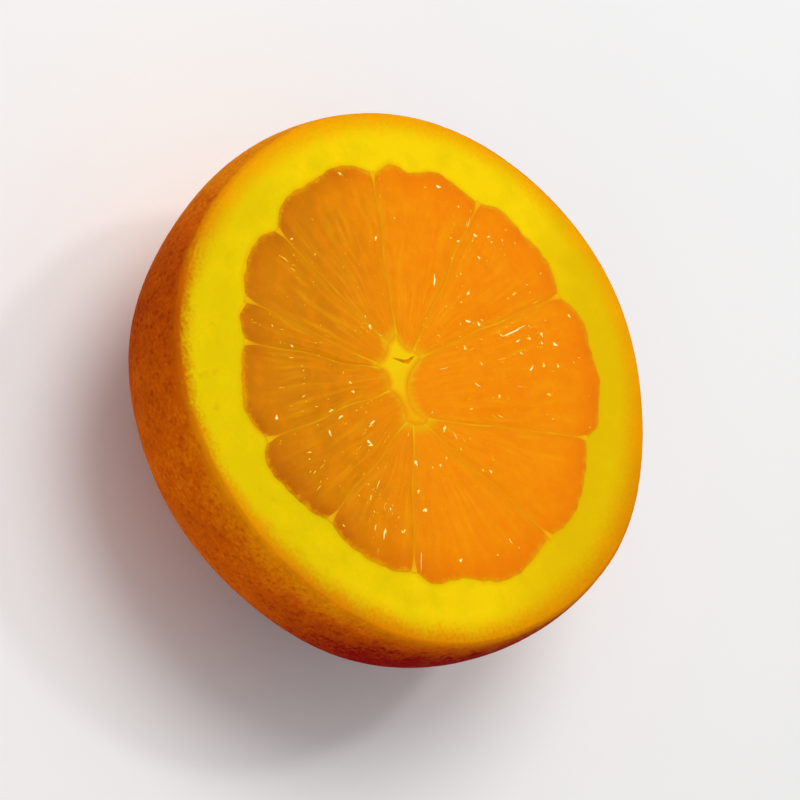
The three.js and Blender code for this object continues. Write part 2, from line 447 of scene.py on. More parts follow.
class Growth:
    """A geometry tree with named inputs, whose result replaces the mesh that it grows on."""

    def __init__(self, name, **sizes):
        self.group = bpy.data.node_groups.new(name, "GeometryNodeTree")
        self.tree = Tree(self.group)
        face = self.group.interface
        face.new_socket(name="Geometry", in_out="OUTPUT", socket_type="NodeSocketGeometry")
        self.sizes = sizes
        self.inputs = {}
        kinds = {size: "Int" if isinstance(value, int) else "Float"
                 for size, value in sizes.items()}
        for name, kind in dict(Geometry="Geometry", **kinds, material="Material").items():
            socket = face.new_socket(name=name, in_out="INPUT", socket_type="NodeSocket" + kind)
            self.inputs[name] = socket.identifier
        self.given = self.tree.add("NodeGroupInput")

    def __getitem__(self, name):
        return self.given.out(name)

    def shift(self, geometry, offset):
        """Moves the points of a mesh."""
        values = {"Geometry": geometry, "Offset": offset}
        return self.tree.add("GeometryNodeSetPosition", None, values)

    def store(self, geometry, name, value):
        """Keeps a value on the mesh for the material to read."""
        values = {"Geometry": geometry, "Name": name, "Value": value}
        return self.tree.add("GeometryNodeStoreNamedAttribute", None, values)

    def end(self, geometry):
        """Closes the tree: what it has made becomes one mesh in the given material."""
        real = self.tree.add("GeometryNodeRealizeInstances", None, {"Geometry": geometry})
        values = {"Geometry": real, "Material": self["material"]}
        done = self.tree.add("GeometryNodeSetMaterial", None, values)
        self.tree.add("NodeGroupOutput", None, {"Geometry": done})

    def grow_on(self, piece, material):
        """Grows once on a piece, which keeps the result as its plain mesh."""
        modifier = piece.modifiers.new("growth", "NODES")
        modifier.node_group = self.group
        for size, value in dict(self.sizes, material=material).items():
            modifier[self.inputs[size]] = value
        graph = bpy.context.evaluated_depsgraph_get()
        grown = bpy.data.meshes.new_from_object(
            piece.evaluated_get(graph), preserve_all_data_layers=True, depsgraph=graph)
        piece.modifiers.remove(modifier)
        piece.data = grown
        grown.shade_smooth()
        grown.set_sharp_from_angle(angle=SHARP_ANGLE)


def fix(piece):
    """The piece belongs to the one body and stands for the solid, which is hidden."""
    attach(piece, "root")
    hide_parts("orange_half")


def make_peel_mesh():
    """Rings from the bottom of the cup up its wall, out over the cut and down the skin.

    Each point is marked with whether it is cut, how far inward of the rim and how far from the
    pulp it is, and how dark the skin and the cut zest are there, which is largely painted shade.
    """
    rim_radius = body_radius(CUT_ABOVE_WIDEST)
    zest_radius = rim_radius - ZEST_THICKNESS
    rings = [np.array([[AXIS_X, AXIS_Y, cup_height(0), 0, FAR, 0, 0, 0]])]

    for share in np.linspace(0, 1, CUP_RINGS)[1:]:
        rings.append(round_ring(
            lambda angle: share * pulp_reach(angle), PEEL_PITCH if share == 1 else CUP_PITCH,
            min(cup_height(share), CUT_HEIGHT - CUP_BELOW_CUT), to_pulp=0))

    def from_rim(angle, radius):
        return rim_radius - radius / outline(angle)

    def from_pulp(angle, radius):
        return radius - pulp_reach(angle) + PITH_OVER_PULP

    def rim_painted_shade(angle, radius):
        return painted_skin_shade(angle, 0)

    def cut_zest(angle, radius):
        return CUT_ZEST_MEAN + sum(patch_at(angle, patch) for patch in CUT_ZEST_PATCHES)

    for share in np.linspace(0, 1, PITH_RINGS) ** PITH_RINGS_CROWD:
        def pith_radius(angle):
            inner = pulp_reach(angle) - PITH_OVER_PULP
            return inner + (zest_radius * outline(angle) - inner) * share
        rings.append(round_ring(
            pith_radius, PEEL_PITCH, CUT_HEIGHT - PITH_SINK * petal(share, 2),
            cut=1, inward=from_rim, to_pulp=from_pulp, deepness=rim_painted_shade, zest=cut_zest))

    for step in np.linspace(0, 1, ZEST_RINGS + 1)[1:]:
        rings.append(round_ring(
            lambda angle: (zest_radius + (ZEST_THICKNESS - RIM_ROUND) * step) * outline(angle),
            PEEL_PITCH, CUT_HEIGHT,
            cut=1, inward=from_rim, deepness=rim_painted_shade, zest=cut_zest))

    for turn in np.radians(RIM_TURNS):
        rings.append(round_ring(
            lambda angle: (rim_radius - RIM_ROUND * (1 - math.sin(turn))) * outline(angle),
            PEEL_PITCH, CUT_HEIGHT - RIM_ROUND * (1 - math.cos(turn)),
            inward=-ROUND_BELOW_RIM / 2 * math.sin(turn), deepness=rim_painted_shade, zest=cut_zest))

    skin_length = (RIM_LATITUDE - REST_LATITUDE) * (WIDEST_RADIUS + POLAR_RADIUS) / 2
    for down in np.linspace(0, 1, int(skin_length / SKIN_RING_PITCH)):
        rings.append(round_ring(
            lambda angle: skin_radius(angle, down)[0], PEEL_PITCH, skin_radius(0, down)[1],
            inward=-ROUND_BELOW_RIM - skin_length * down,
            deepness=lambda angle, radius: painted_skin_shade(angle, skin_length * down), zest=cut_zest))

    for share in REST_SPOT_SHARES:
        rings.append(round_ring(
            lambda angle: share * REST_SPOT_RADIUS * outline(angle), PEEL_PITCH / share, 0,
            inward=-skin_length, deepness=SKIN_SHADE_MEAN))
    rings.append(np.array([[AXIS_X, AXIS_Y, 0, 0, -skin_length, FAR, SKIN_SHADE_MEAN, 0]]))

    columns = np.concatenate(rings)
    marks = dict(zip(("cut", "inward", "to_pulp", "deepness", "zest"), columns.T[3:]))
    return make_piece("peel", columns[:, :3], join_rings(rings), marks)


def make_rind_growth():
    """Oil glands that dimple the skin, and the sponge of the cut pith."""
    growth = Growth("rind", gland_spacing=1.15 * MM, gland_depth=0.12 * MM,
                    swell_depth=0.1 * MM, sponge_size=0.9 * MM, sponge_depth=0.08 * MM)
    tree = growth.tree
    place = tree.add("GeometryNodeInputPosition")
    skin = named(tree, "inward").smooth(0, -0.8)
    cut = named(tree, "cut")

    glands_per_length = growth["gland_spacing"].math("POWER", -1)
    glands = tree.cells(place, glands_per_length, Randomness=0.9)
    spread = tree.part(glands.out("Color"), "X")
    dimple = 1 - glands.out("Distance").smooth(0.05, 0.3 + 0.25 * spread)
    swell = tree.noise(place, glands_per_length * 0.35)
    sponge = tree.noise(place, growth["sponge_size"].math("POWER", -1), 3)

    above_floor = tree.part(place, "Z").smooth(0, 1.5 * MM)
    skin_drop = dimple * growth["gland_depth"] + swell * growth["swell_depth"]
    skin_drop = skin_drop * skin * above_floor
    cut_drop = sponge * growth["sponge_depth"] * cut
    offset = tree.scale(tree.add("GeometryNodeInputNormal"), (skin_drop + cut_drop) * -1)
    moved = growth.shift(growth["Geometry"], offset)
    growth.end(growth.store(moved, "gland", dimple * skin))
    return growth


PORE_SPACING = 0.8
# Colours of the skin, of the cut zest and of the pith
ZEST_LIGHT = (1, 0.38, 0.002, 1)
ZEST_ORANGE = (0.66, 0.115, 0.001, 1)
# The darkest skin colour, used for painted shade
ZEST_PAINTED_SHADE = (0.24, 0.001, 0.001, 1)
ZEST_CUT = (0.94, 0.40, 0.002, 1)
# Dark cut zest, used for its dark patches and for its painted shade
ZEST_CUT_DEEP_AND_SHADED = (0.50, 0.088, 0.001, 1)
# Lit pith, and pith under two kinds of painted shade
PITH_LIT = (0.965, 0.655, 0.003, 1)
PITH_SHADED_OLIVE = (0.80, 0.585, 0.002, 1)
PITH_SHADED_DEEP = (0.79, 0.505, 0.002, 1)
PITH_STAINED = (0.90, 0.40, 0.002, 1)
PITH_SPECKS = (0.60, 0.32, 0.002, 1)
WARM_SHEEN = (1, 0.6, 0.05, 1)
# Toward the thin side the cut zest gives way to pith soonest, toward the thick side it does so
# latest. The pith carries painted light and shade: lit in between, with painted shade that
# makes it greener and darker toward the thin side and darker and more orange toward the shaded
# side
THIN_AND_SHADED_SIDE = (-0.31, -0.95, 0)
THICK_SIDE = (0.77, 0.64, 0)
PITH_SHADED_SIDE = (0.63, 0.78, 0)


def toward(tree, place, side):
    """From -1 to 1 across the fruit, toward one side of it."""
    values = {0: tree.scale(place, 1 / (WIDEST_RADIUS * MM)), 1: side}
    return tree.add("ShaderNodeVectorMath", dict(operation="DOT_PRODUCT"), values)


def make_peel_material():
    """Pored orange skin, yellow pith, and the zest that shows through the pith at the rim."""
    material, tree, shader = new_material("rind")
    place = tree.place()
    inward = mark(tree, "inward")
    blotch = tree.noise(place, 60, 3) - 0.5
    mottle = tree.noise(place, 260, 4) - 0.5
    speckle = tree.noise(place, 2000, 3) - 0.5

    # Painted shade on the skin, broken by blotches, mottle, specks and glands
    shade_and_mottle = mark(tree, "deepness") + 0.4 * blotch + 0.4 * mottle + 0.5 * speckle
    shade_and_mottle = shade_and_mottle + 0.2 * mark(tree, "gland")
    skin = tree.mix(1.8 * shade_and_mottle - 0.9, tree.mix(2 * shade_and_mottle, ZEST_LIGHT, ZEST_ORANGE), ZEST_PAINTED_SHADE)

    thin = toward(tree, place, THIN_AND_SHADED_SIDE)
    thick = toward(tree, place, THICK_SIDE)
    deep = toward(tree, place, PITH_SHADED_SIDE).smooth(0.3, 0.65)
    # Painted shade on the pith toward two sides, broken by mottle and specks
    pith_shade = thin.smooth(-0.2, 0.9) + 1.8 * mottle + 0.8 * speckle
    pith = tree.mix(pith_shade, PITH_LIT, PITH_SHADED_OLIVE)
    pith = tree.mix(deep + 0.9 * mottle, pith, PITH_SHADED_DEEP)
    stain = 1 - (mark(tree, "to_pulp") + 1.5 * mottle + 0.8 * speckle).smooth(-0.3, 0.9)
    pith = tree.mix(stain * 0.7, pith, PITH_STAINED)
    near_rim = (1 - inward.smooth(2, 8)) * thin.smooth(0.2, 1)
    specks = tree.noise(place, 420, 4).smooth(0.57, 0.74) * near_rim
    pith = tree.mix(specks * 0.5, pith, PITH_SPECKS)

    # The zest thins out inward of the rim and ends in a ragged edge
    lumpy = inward + 2.8 * mottle + 2.4 * speckle
    thinner = 1 + 0.8 * thin.smooth(0.7, 1) - 0.25 * thick.smooth(0.4, 1)
    # The cut zest, darker in patches, of which the one at the left of the view is painted shade
    zest = tree.mix(mark(tree, "zest") + 0.6 * mottle, ZEST_CUT, ZEST_CUT_DEEP_AND_SHADED)
    cut = tree.mix((lumpy * thinner).smooth(-0.2, 4), zest, pith)

    pores = tree.cells(place, 1 / (PORE_SPACING * MM))
    pits = pores.out("Distance").smooth(0.1, 0.6) * inward.smooth(0, -0.8)
    tree.feed(shader, {
        "Base Color": tree.mix(lumpy.smooth(-1.8, 0.6), skin, cut),
        "Roughness": 0.75 + 0.1 * speckle,
        "Normal": tree.bump(pits + 0.3 * speckle, 0.5, 0.15 * MM),
        "Specular IOR Level": 0.01,
        "Specular Tint": WARM_SHEEN,
        "Subsurface Weight": 0.2,
        "Subsurface Radius": (1, 0.45, 0.05),
        "Subsurface Scale": 1.2 * MM,
    })
    return material


peel = make_peel_mesh()
make_rind_growth().grow_on(peel, make_peel_material())
fix(peel)


# ---- Core and membranes ----
# The core is a column of soft pith with a crack where it has drawn apart. From it eleven
# thin skins run out between the segments to the notches of the rind.

TIP_ROUNDNESS = 2.5
CORE_TOP = 0.1
# The core's edge: how far it drops, over what width, and the width where its yellow fades
CORE_EDGE_DROP = 0.1
CORE_EDGE_ROUND = 0.8
CORE_EDGE_FADE = 0.9
# The crack: places along its middle line, with half its width there
CRACK_LINE = [
    (-2.65, -0.3, 0), (-2.55, -1, 0.2), (-2.4, -1.9, 0.28),
    (-2.7, -2.5, 0.22), (-3.2, -3.1, 0.14), (-3.9, -4, 0),
]
CRACK_DEPTH = 0.8
CRACK_WALL = 0.3
# Along X, from where the core is moist to where it is driest and palest
CORE_DRY_SPAN = (4.5, -2.5)
# The core's mesh: points along each segment's end, their distances, and finer ones in an
# oblong round the crack
CORE_EDGE_STEPS = 24
CORE_PITCH = 0.16
CORE_EDGE_CLEAR = 0.1
CRACK_AREA = ((-4.2, -4.8), (-1.8, 0.6))
CRACK_PITCH = 0.07
CRACK_MARGIN = 0.35
MEMBRANE_HALF = 0.13
THORN_HALF = 0.42
THORN_LENGTH = 2
MEMBRANE_TOP = 0.02
MEMBRANE_ROUND = 0.01
MEMBRANE_OVER_PULP = 0.04
MEMBRANE_INTO_CORE = 0.5
MEMBRANE_INTO_PITH = 0.6
MEMBRANE_BELOW_PULP = 0.3
MEMBRANE_PITCH = 0.3
# How far a membrane is yellow next to the core
YELLOW_BY_CORE = 3.5
# Painted shade makes the pulp darker and browner toward one side, over a span of distances
# from the fruit's axis
SHADED_PULP_SIDE = (-0.45, -0.89)
SHADED_PULP_SPAN = (-4, 22)


def painted_shade_at(flat):
    """How much shade is painted on the pulp, from 0 to 1, at points given from the fruit's axis.
    """
    share = ramp(flat @ SHADED_PULP_SIDE, *SHADED_PULP_SPAN)
    return share * share * (3 - 2 * share)


# Membranes wander a little to both sides on their way out, in waves round the fruit that
# turn with the distance from its axis. The waves rise past the core and fall at the pith.
WANDER = 0.3
WANDER_WAVES = [(5, 0.42), (8, -0.55)]
WANDER_RISE = (7, 12)
WANDER_FALL = (27, 21)


def wander(flat):
    """Nudges points of the pulp sideways, except near the core and the pith."""
    reach = np.linalg.norm(flat, axis=-1)
    angle = np.arctan2(flat[..., 1], flat[..., 0])
    free = ramp(reach, *WANDER_RISE) * ramp(reach, *WANDER_FALL)
    swing = sum(np.sin(count * angle + turn * reach) for count, turn in WANDER_WAVES)
    shift = WANDER * free * swing / len(WANDER_WAVES) / np.maximum(reach, 1)
    return flat + np.stack([-flat[..., 1], flat[..., 0]], -1) * shift[..., None]


def core_edge(index, across):
    """Points of the core's outline along the inner end of a segment."""
    root = np.array(MEMBRANES[index]["root"])
    next_root = np.array(next_membrane(index)["root"])
    tip = np.array(MEMBRANES[index]["tip"])
    across = np.asarray(across, float)[..., None]
    straight = root + (next_root - root) * across
    return straight + petal(across, TIP_ROUNDNESS) * (tip - (root + next_root) / 2)


def pith_edge(index, across):
    """Points of the pith's edge along the outer end of a segment."""
    angle = np.radians(MEMBRANES[index]["angle"] + sweep_of(index) * np.asarray(across, float))
    reach = lobe_reach(index, np.asarray(across, float))
    return np.stack([reach * np.cos(angle), reach * np.sin(angle)], -1)


def to_crack(points):
    """Distance of points from the crack's middle line, less half its width there."""
    best = np.full(len(points), float(FAR))
    line = np.array(CRACK_LINE)
    for start, end in zip(line[:-1], line[1:]):
        run = end[:2] - start[:2]
        share = np.clip((points - start[:2]) @ run / (run @ run), 0, 1)
        away = np.linalg.norm(points - start[:2] - share[:, None] * run, axis=1)
        best = np.minimum(best, away - (start[2] + (end[2] - start[2]) * share))
    return best


def point_grid(low, high, pitch):
    """Points in rows and columns over an oblong."""
    x, y = np.meshgrid(*(np.arange(low[axis], high[axis], pitch) for axis in (0, 1)))
    return np.stack([x.ravel(), y.ravel()], 1)


def make_core_mesh():
    """The core's top, meshed finely near the crack, and the column below it."""
    steps = np.arange(CORE_EDGE_STEPS) / CORE_EDGE_STEPS
    edge = np.concatenate([core_edge(index, steps) for index in range(len(MEMBRANES))])
    inner = point_grid(edge.min(0), edge.max(0), CORE_PITCH)
    row = np.round((inner[:, 1] - edge[:, 1].min()) / CORE_PITCH)
    inner[:, 0] += 0.5 * CORE_PITCH * (row % 2)
    fine = point_grid(*CRACK_AREA, CRACK_PITCH)
    inner = np.concatenate([
        inner[to_crack(inner) > CRACK_MARGIN], fine[to_crack(fine) <= CRACK_MARGIN]])
    away = np.linalg.norm(inner[:, None] - edge[None], axis=2).min(1)
    inner = inner[away > CORE_EDGE_CLEAR]
    given = [Vector(point) for point in np.concatenate([edge, inner])]
    found = delaunay_2d_cdt(given, [], [list(range(len(edge)))], 1, 1e-5)
    flat = np.array([tuple(point) for point in found[0]])
    top = np.array([face for face in found[2] if len(face) == 3])
    p, q, r = (flat[top[:, corner]] for corner in range(3))
    turn = np.cross(q - p, r - p)
    top[turn < 0] = top[turn < 0][:, ::-1]

    depth = CRACK_DEPTH * (1 - np.clip(to_crack(flat) / CRACK_WALL + 0.95, 0, 1) ** 2)
    to_edge = np.linalg.norm(flat[:, None] - edge[None], axis=2).min(1)
    drop = CORE_EDGE_DROP * (1 - ramp(to_edge, 0, CORE_EDGE_ROUND)) ** 2
    height = CUT_HEIGHT + CORE_TOP - drop - depth
    points = np.column_stack([flat + (AXIS_X, AXIS_Y), height])
    dry = ramp(flat[:, 0], *CORE_DRY_SPAN)
    pithy = np.clip(0.1 + to_edge / CORE_EDGE_FADE, 0, 1) * (0.45 + 0.55 * dry)
    return close_downwards("core", points, top, np.full(len(points), cup_height(0) - 1), dict(
        pithy=pithy, crack=np.clip(depth / CRACK_DEPTH, 0, 1), painted_shade=painted_shade_at(flat)))


def close_downwards(name, points, top, floor, marks):
    """A closed piece from its upper side, with upright walls and an underside at floor."""
    count = len(points)
    under = points.copy()
    under[:, 2] = floor
    edges = np.concatenate([top[:, [0, 1]], top[:, [1, 2]], top[:, [2, 0]]])
    keys = edges[:, 0] * count + edges[:, 1]
    back = edges[:, 1] * count + edges[:, 0]
    border = edges[~np.isin(keys, back)]
    walls = np.concatenate([
        np.column_stack([border[:, 1], border[:, 0], border[:, 0] + count]),
        np.column_stack([border[:, 1], border[:, 0] + count, border[:, 1] + count])])
    faces = np.concatenate([top, top[:, ::-1] + count, walls])
    doubled = {label: np.concatenate([values, values]) for label, values in marks.items()}
    return make_piece(name, np.concatenate([points, under]), faces, doubled)


def half_thickness(to_pith):
    """Half of a membrane's thickness at a distance from its notch, where it flares."""
    flare = 1 - ramp(to_pith, 0, THORN_LENGTH)
    return MEMBRANE_HALF + (THORN_HALF - MEMBRANE_HALF) * flare ** 2


def make_membranes_mesh():
    """Eleven upright walls, which run a little way into the core and into the pith."""
    points, faces, pithy, painted_shade = [], [], [], []
    for index, membrane in enumerate(MEMBRANES):
        root = core_edge(index, 0)
        notch = pith_edge(index, 0)
        length = np.linalg.norm(notch - root)
        along = (notch - root) / length
        side = np.array([-along[1], along[0]])
        reach = np.arange(-MEMBRANE_INTO_CORE, length + MEMBRANE_INTO_PITH, MEMBRANE_PITCH)
        half = half_thickness(length - reach)
        middle = root + reach[:, None] * along
        share = np.linalg.norm(middle, axis=1) / membrane["reach"]
        low = cup_height(np.clip(share, 0, 0.995)) - MEMBRANE_BELOW_PULP
        top = np.full(len(reach), CUT_HEIGHT + MEMBRANE_TOP)
        shoulder = top - MEMBRANE_ROUND
        rows = []
        for wide, height in [(-1, low), (-1, shoulder), (0, top), (1, shoulder), (1, low)]:
            flat = wander(middle + side * (half * wide)[:, None]) + (AXIS_X, AXIS_Y)
            rows.append(np.column_stack([flat, np.minimum(height, top)]))
        grid = np.stack(rows, 1)
        count, wide = grid.shape[:2]
        first = sum(len(block) for block in points)
        corner = first + np.arange(count * wide).reshape(count, wide)
        around = np.roll(corner, -1, axis=1)
        quads = np.stack([corner[:-1], corner[1:], around[1:], around[:-1]], -1).reshape(-1, 4)
        faces += [quad.tolist() for quad in quads]
        faces += [corner[0].tolist(), corner[-1][::-1].tolist()]
        points.append(grid.reshape(-1, 3))
        near_core = (1 - ramp(reach, 0, YELLOW_BY_CORE)) ** 1.5
        near_pith = 1 - ramp(length - reach, 0, THORN_LENGTH)
        pithy.append(np.repeat(np.maximum(0.7 * near_core, 0.55 * near_pith), wide))
        painted_shade.append(np.repeat(painted_shade_at(middle), wide))
    points = np.concatenate(points)
    return make_piece("membranes", points, faces, dict(
        pithy=np.concatenate(pithy), crack=np.zeros(len(points)), painted_shade=np.concatenate(painted_shade)))


CORE_YELLOW = (0.91, 0.585, 0.003, 1)
MEMBRANE_AMBER = (0.94, 0.285, 0.002, 1)
# The membranes' colour under the painted shade
MEMBRANE_SHADED = (0.74, 0.245, 0.002, 1)
CRACK_BROWN = (0.95, 0.50, 0.002, 1)


def make_membrane_material():
    """Soft yellow pith in the core and the notches, and thin amber skin between them."""
    material, tree, shader = new_material("membrane")
    place = tree.place()
    fine = tree.noise(place, 700, 4)
    # Thin skin, darker where the pulp's painted shade lies
    thin = tree.mix(mark(tree, "painted_shade"), MEMBRANE_AMBER, MEMBRANE_SHADED)
    patches = tree.noise(place, 250, 3).smooth(0.5, 0.75)
    colour = tree.mix(mark(tree, "pithy") + 0.3 * (fine - 0.5) + 0.3 * patches, thin, CORE_YELLOW)
    tree.feed(shader, {
        "Base Color": tree.mix(mark(tree, "crack"), colour, CRACK_BROWN),
        "Roughness": 0.45 + 0.25 * fine,
        "Normal": tree.bump(fine, 0.4, 0.15 * MM),
        "Specular IOR Level": 0.1,
        "Specular Tint": WARM_SHEEN,
    })
    return material


membrane_material = make_membrane_material()
core = make_core_mesh()
membranes = make_membranes_mesh()
for piece in (core, membranes):
    piece.data.materials.append(membrane_material)
    fix(piece)


# ---- Pulp ----
# Each segment is a bag of long juice sacs, which run in from the pith and taper towards the
# core. The knife has opened them, and they swell a little past the plane of the cut.

PULP_CROWN = 0.22
END_DROP = 0.02
END_ROUND = 0.9
FLOOR_OVER_CUP = 0.1
LEAST_DEPTH = 1.2
# The mesh: distance between points, how many more lie across, how much closer they lie at
# the ends, how far it runs under the core, and the most it gives way to a membrane
PULP_PITCH = 0.25
MORE_ACROSS = 8
CROWD_ENDS = 0.4
UNDER_CORE = 0.004
MOST_INSET = 0.4
# A sac's width and length, a segment's mean width against its widest, and how far apart in
# the pattern the sacs of two segments are
SAC_WIDTH = 2.4
SAC_LENGTH = 8
MEAN_WIDTH = 0.7
PATTERN_STEP = 7


def crowd_ends(steps):
    """Shares from 0 to 1 that lie closer together at both ends."""
    return steps - CROWD_ENDS * np.sin(2 * np.pi * steps) / (2 * np.pi)


def quarter_round(distance, radius):
    """Rises from 0 at an edge to 1 at a distance of radius, as a round edge does."""
    return np.sqrt(1 - (1 - ramp(distance, 0, radius)) ** 2)


def segment_face(index, pitch):
    """Points, faces and marks of the wet upper side of a segment, and the height below it."""
    widest = np.linalg.norm(pith_edge(index, 1) - pith_edge(index, 0))
    length = np.linalg.norm(pith_edge(index, 0.5) - core_edge(index, 0.5))
    across = crowd_ends(np.linspace(0, 1, int(widest / pitch) + MORE_ACROSS))[None, :]
    along = crowd_ends(np.linspace(-UNDER_CORE, 1, int(length / pitch)))[:, None]
    width = np.linalg.norm(
        (core_edge(index, 0) - core_edge(index, 1)) * (1 - along)
        + (pith_edge(index, 0) - pith_edge(index, 1)) * along, axis=1)[:, None]
    inset = (half_thickness((1 - along) * length) - MEMBRANE_OVER_PULP) / width
    inset = np.minimum(MOST_INSET, inset)
    place = inset + across * (1 - 2 * inset)
    inner, outer = core_edge(index, place), pith_edge(index, place)
    flat = wander(inner + (outer - inner) * along[..., None])

    to_wall = np.minimum(across, 1 - across) * width
    to_core = along * length + 0 * across
    to_pith = (1 - along) * length + 0 * across
    side = ramp(to_wall, 0, END_ROUND)
    end = quarter_round(np.minimum(to_core, to_pith), END_ROUND)
    crown = PULP_CROWN * petal(across, 2) * petal(along, 4)
    height = CUT_HEIGHT - END_DROP * (1 - end) * side + crown
    share = np.linalg.norm(flat, axis=2) / pulp_reach(np.arctan2(flat[..., 1], flat[..., 0]))
    floor = np.minimum(cup_height(share) + FLOOR_OVER_CUP, CUT_HEIGHT - LEAST_DEPTH)

    rows, columns = height.shape
    corner = np.arange(rows * columns).reshape(rows, columns)
    quads = np.stack([
        corner[:-1, :-1], corner[1:, :-1], corner[1:, 1:], corner[:-1, 1:]], -1).reshape(-1, 4)
    top = np.concatenate([quads[:, [0, 1, 2]], quads[:, [0, 2, 3]]])
    points = np.dstack([flat + (AXIS_X, AXIS_Y), height]).reshape(-1, 3)

    marks = dict(face=side * end, to_wall=to_wall, to_core=to_core, to_pith=to_pith,
                 painted_shade=painted_shade_at(flat))
    marks = {name: values.ravel() for name, values in marks.items()}
    sacs = max(2, round(MEAN_WIDTH * widest / SAC_WIDTH))
    marks["sac_place"] = np.dstack([
        across * sacs + 0 * along, to_core / SAC_LENGTH,
        np.full(height.shape, PATTERN_STEP * index)]).reshape(-1, 3)
    return points, top, marks, floor.ravel()


def make_segment_mesh(index):
    """A closed segment: the wet face, and its walls and underside in the peel's cup."""
    points, top, marks, floor = segment_face(index, PULP_PITCH)
    return close_downwards(f"segment_{index + 1:02d}", points, top, floor, marks)


SAC_WANDER = 0.45
SAC_WALL = 0.1


def bend_sacs(tree, place, amount):
    """Places in the pattern of sacs, moved about so that the walls between sacs wander."""
    return tree.move(place, tree.scale(tree.noise(place, 1.1).out("Color"), amount))


def to_sac_wall(tree, place):
    """Distance to the nearest wall between sacs."""
    return tree.cells(place, 1, "DISTANCE_TO_EDGE").out("Distance")


def make_sac_growth():
    """Long juice sacs side by side, each a little swollen between sunken walls."""
    growth = Growth("juice_sacs", wall_depth=0.02 * MM, swell_height=0.05 * MM,
                    wander=SAC_WANDER, fibre_height=0.03 * MM)
    tree = growth.tree
    place = named(tree, "sac_place", "FLOAT_VECTOR")
    bent = bend_sacs(tree, place, growth["wander"])
    to_wall = to_sac_wall(tree, bent)
    fullness = tree.part(tree.cells(bent, 1).out("Color"), "X")
    fibre = tree.noise(tree.stretch(place, (7, 2.5, 1)), 1) - 0.5
    lift = to_wall.smooth(0, 0.35) * fullness * growth["swell_height"]
    lift = lift - (1 - to_wall.smooth(0, SAC_WALL)) * growth["wall_depth"]
    lift = (lift + fibre * growth["fibre_height"]) * named(tree, "face")
    push = tree.add("ShaderNodeCombineXYZ", None, {"Z": lift})
    growth.end(growth.shift(growth["Geometry"], push))
    return growth


PULP_BRIGHT = (0.96, 0.29, 0.001, 1)
PULP_DEEP = (0.90, 0.235, 0.001, 1)
# Colours under the painted shade, for the flesh, its rim and its rays
PULP_SHADED = (0.64, 0.20, 0.001, 1)
RIM_ORANGE = (0.87, 0.20, 0.001, 1)
RIM_SHADED = (0.50, 0.118, 0.001, 1)
RAY_AMBER = (1, 0.42, 0.002, 1)
RAY_SHADED = (0.84, 0.35, 0.002, 1)


def make_pulp_material():
    """Wet amber flesh, with painted shade toward one side, and the sacs showing as pale rays."""
    material, tree, shader = new_material("pulp")
    place = tree.place()
    sac_place = tree.add("ShaderNodeAttribute", dict(attribute_name="sac_place")).out("Vector")
    painted_shade, to_pith, to_core = (mark(tree, name) for name in ("painted_shade", "to_pith", "to_core"))
    broad = tree.noise(place, 90)
    patch = tree.noise(place, 170).smooth(0.35, 0.65)
    cloud = tree.noise(place, 420, 3).smooth(0.3, 0.7)
    fine = tree.noise(place, 900, 4)
    grain = tree.noise(place, 2600)
    ruffled = tree.move(sac_place, tree.scale(tree.noise(place, 150).out("Color"), 0.25))
    fibre = tree.noise(tree.stretch(ruffled, (3.2, 1.2, 1)), 1, 3)
    swath = tree.noise(tree.stretch(ruffled, (1.5, 0.5, 1)), 1).smooth(0.5, 0.72)

    # The flesh, and its deeper orange next to the pith
    deepness = broad.smooth(0.3, 0.7) * 0.3 + fine.smooth(0.3, 0.7) * 0.2
    deepness = deepness + grain.smooth(0.25, 0.75) * 0.3
    colour = tree.mix(deepness + 0.4 * cloud, PULP_BRIGHT, PULP_DEEP)
    # Painted shade, darker and browner toward one side
    colour = tree.mix(painted_shade * (0.62 + 0.35 * deepness + 0.5 * cloud), colour, PULP_SHADED)
    near_pith = (1 - to_pith.smooth(0, 1.5 + 7 * broad)) * (0.35 + 0.6 * patch)
    colour = tree.mix(near_pith, colour, tree.mix(painted_shade, RIM_ORANGE, RIM_SHADED))

    # Amber where the walls of sacs and the membranes show through
    wall = 1 - to_sac_wall(tree, bend_sacs(tree, sac_place, SAC_WANDER)).smooth(0, SAC_WALL)
    near_wall = 1 - mark(tree, "to_wall").smooth(0, 0.4 + 1.4 * fibre)
    near_core = (1 - to_core.smooth(0, 12)) * (0.5 - 0.1 * painted_shade)
    amber = tree.mix(painted_shade, MEMBRANE_AMBER, MEMBRANE_SHADED)
    colour = tree.mix(wall * 0.08 + near_wall * 0.4 * patch + near_core, colour, amber)

    # Pale rays along the sacs
    open_flesh = to_pith.smooth(0.5, 8) * (0.3 + 0.7 * to_core.smooth(0.5, 8))
    ray = (fibre.smooth(0.42, 0.8) * (0.35 + 0.65 * patch) + 0.5 * swath) * open_flesh
    colour = tree.mix(ray * (0.4 + 0.3 * painted_shade), colour, tree.mix(painted_shade, RAY_AMBER, RAY_SHADED))

    # Ragged edges toward the pith and toward the core
    ragged = to_pith + (fine - 0.5) * 1.4 + (grain - 0.5) * 1.2 + (broad - 0.5) * 1.2
    colour = tree.mix((1 - ragged.smooth(-0.3, 0.9)) * 0.7, colour, PITH_STAINED)
    frayed = to_core + (0.5 - fibre) * 2 + (0.5 - patch) * 1.2
    colour = tree.mix((1 - frayed.smooth(-0.6, 1.5)) * 0.45, colour, CORE_YELLOW)

    tree.feed(shader, {
        "Base Color": colour,
        "Roughness": 0.3 + 0.16 * fine,
        "Normal": tree.bump(fine, 0.25, 0.08 * MM),
        "Specular IOR Level": 0.1,
        "Specular Tint": WARM_SHEEN,
        "Subsurface Weight": 0.3,
        "Subsurface Radius": (1, 0.35, 0.04),
        "Subsurface Scale": 1.5 * MM,
    })
    return material


